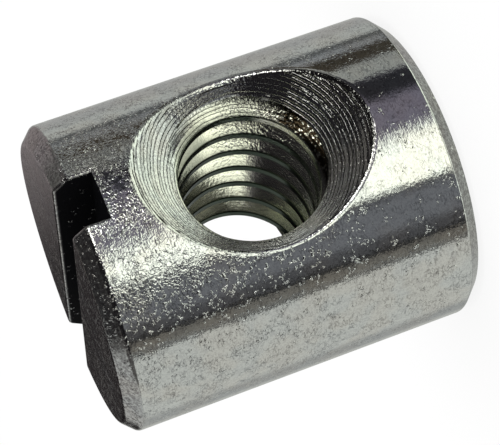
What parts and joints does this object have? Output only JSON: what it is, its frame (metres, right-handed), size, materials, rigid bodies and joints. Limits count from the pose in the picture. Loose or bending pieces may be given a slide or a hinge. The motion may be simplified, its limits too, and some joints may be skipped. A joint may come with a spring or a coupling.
{
  "type": "barrel nut",
  "caption": "Short steel barrel with a countersunk threaded cross hole through its side, chamfered ends and a straight screwdriver slot across one end.",
  "frame": {"origin": "centre of the plain end face, on which the barrel stands", "axes": "+Z along the barrel's axis towards the slotted end; the threaded hole runs along Y with its countersunk mouth towards -Y; the slot runs along Y, turned about Z by 2.4 degrees"},
  "size_m": [0.0116, 0.0116, 0.0135],
  "materials": {
    "zinc_plate": "bright zinc plate, satin, with fine speckle and turning lines"
  },
  "bodies": {
    "root": {"barrel_nut": "zinc_plate"}
  },
  "joints": []
}
